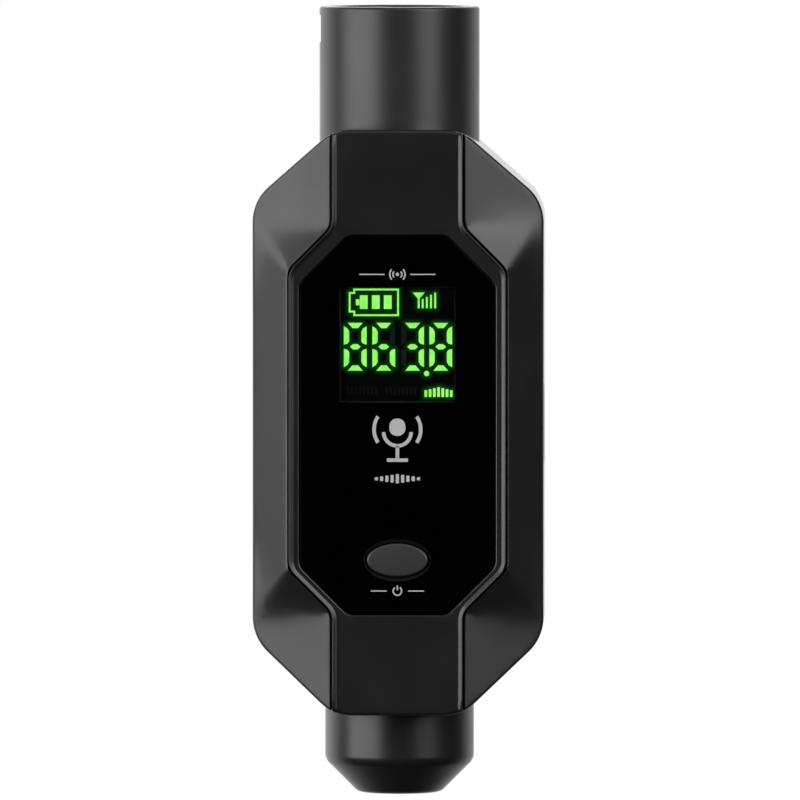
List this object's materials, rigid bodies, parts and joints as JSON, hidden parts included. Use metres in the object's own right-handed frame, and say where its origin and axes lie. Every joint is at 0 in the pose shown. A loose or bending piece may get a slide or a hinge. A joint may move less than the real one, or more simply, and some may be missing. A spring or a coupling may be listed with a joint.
{
  "type": "plug-on wireless receiver",
  "caption": "Handheld wireless microphone receiver with a male three-pin audio plug on top, a faceted casing, a lit display, a power button and a round aerial cap.",
  "frame": {"origin": "centre of the plug's mating rim, on the plug's axis", "axes": "+Z out of the plug, along the object's length; the display faces -Y; +X is to the right of someone reading it"},
  "size_m": [0.0344, 0.0256, 0.0933],
  "materials": {
    "casing_plastic": "fine moulded grain, satin black",
    "fascia_plastic": "fine satin black",
    "lens_gloss": "polished black",
    "button_rubber": "satin dark grey",
    "plug_metal": "black satin coating",
    "insert_plastic": "moulded",
    "contact_metal": "plated",
    "copper_wire": "bare copper",
    "lead_grey": "smooth sleeve",
    "lead_red": "smooth sleeve",
    "display_glass": "smooth dark display face",
    "black_foam": "foam tape",
    "sheet_metal": "tinned sheet",
    "white_plastic": "moulded",
    "board_green": "solder mask",
    "board_blue": "solder mask",
    "screw_steel": "plated",
    "screw_black": "black zinc",
    "chip_plastic": "moulded",
    "capacitor_tan": "ceramic",
    "cell_foil": "laminated foil",
    "label_plastic": "blank polyester label"
  },
  "bodies": {
    "casing": {"front_shell": "casing_plastic", "rear_shell": "casing_plastic", "front_fascia": "fascia_plastic", "display_lens": "lens_gloss", "lens_adhesive": "black_foam", "xlr_shell": "plug_metal", "xlr_insert": "insert_plastic", "contact_pin_1": "contact_metal", "contact_pin_2": "contact_metal", "contact_pin_3": "contact_metal", "ground_tab": "contact_metal", "antenna_cap": "casing_plastic", "antenna_coil": "copper_wire", "antenna_lead": "lead_grey", "display_glass": "display_glass", "display_frame": "insert_plastic", "display_pins": "contact_metal", "display_gasket": "black_foam", "switch_body": "sheet_metal", "main_board": "board_green", "board_screws": "screw_steel", "case_screws": "screw_black", "controller_chip": "chip_plastic", "codec_chip": "chip_plastic", "charger_chip": "chip_plastic", "clock_crystal": "sheet_metal", "capacitors": "capacitor_tan", "resistors": "chip_plastic", "receiver_module": "board_blue", "rf_shield_can": "sheet_metal", "usb_port_shell": "sheet_metal", "usb_port_tongue": "insert_plastic", "battery_cell": "cell_foil", "battery_pad": "white_plastic", "battery_plug": "white_plastic", "battery_leads": "lead_red", "audio_leads": "lead_grey", "rear_label": "label_plastic"},
    "button": {"power_button": "button_rubber"},
    "plunger": {"switch_plunger": "white_plastic"}
  },
  "joints": [
    {"name": "button_press", "type": "slide", "parent": "casing", "child": "button", "axis": [0, 1, 0], "range_m": [0, 0.0003]},
    {"name": "plunger_press", "type": "slide", "parent": "casing", "child": "plunger", "axis": [0, 1, 0], "range_m": [0, 0.0003]}
  ],
  "couplings": [
    {"joint": "plunger_press", "follows": "button_press", "ratio": 1}
  ]
}
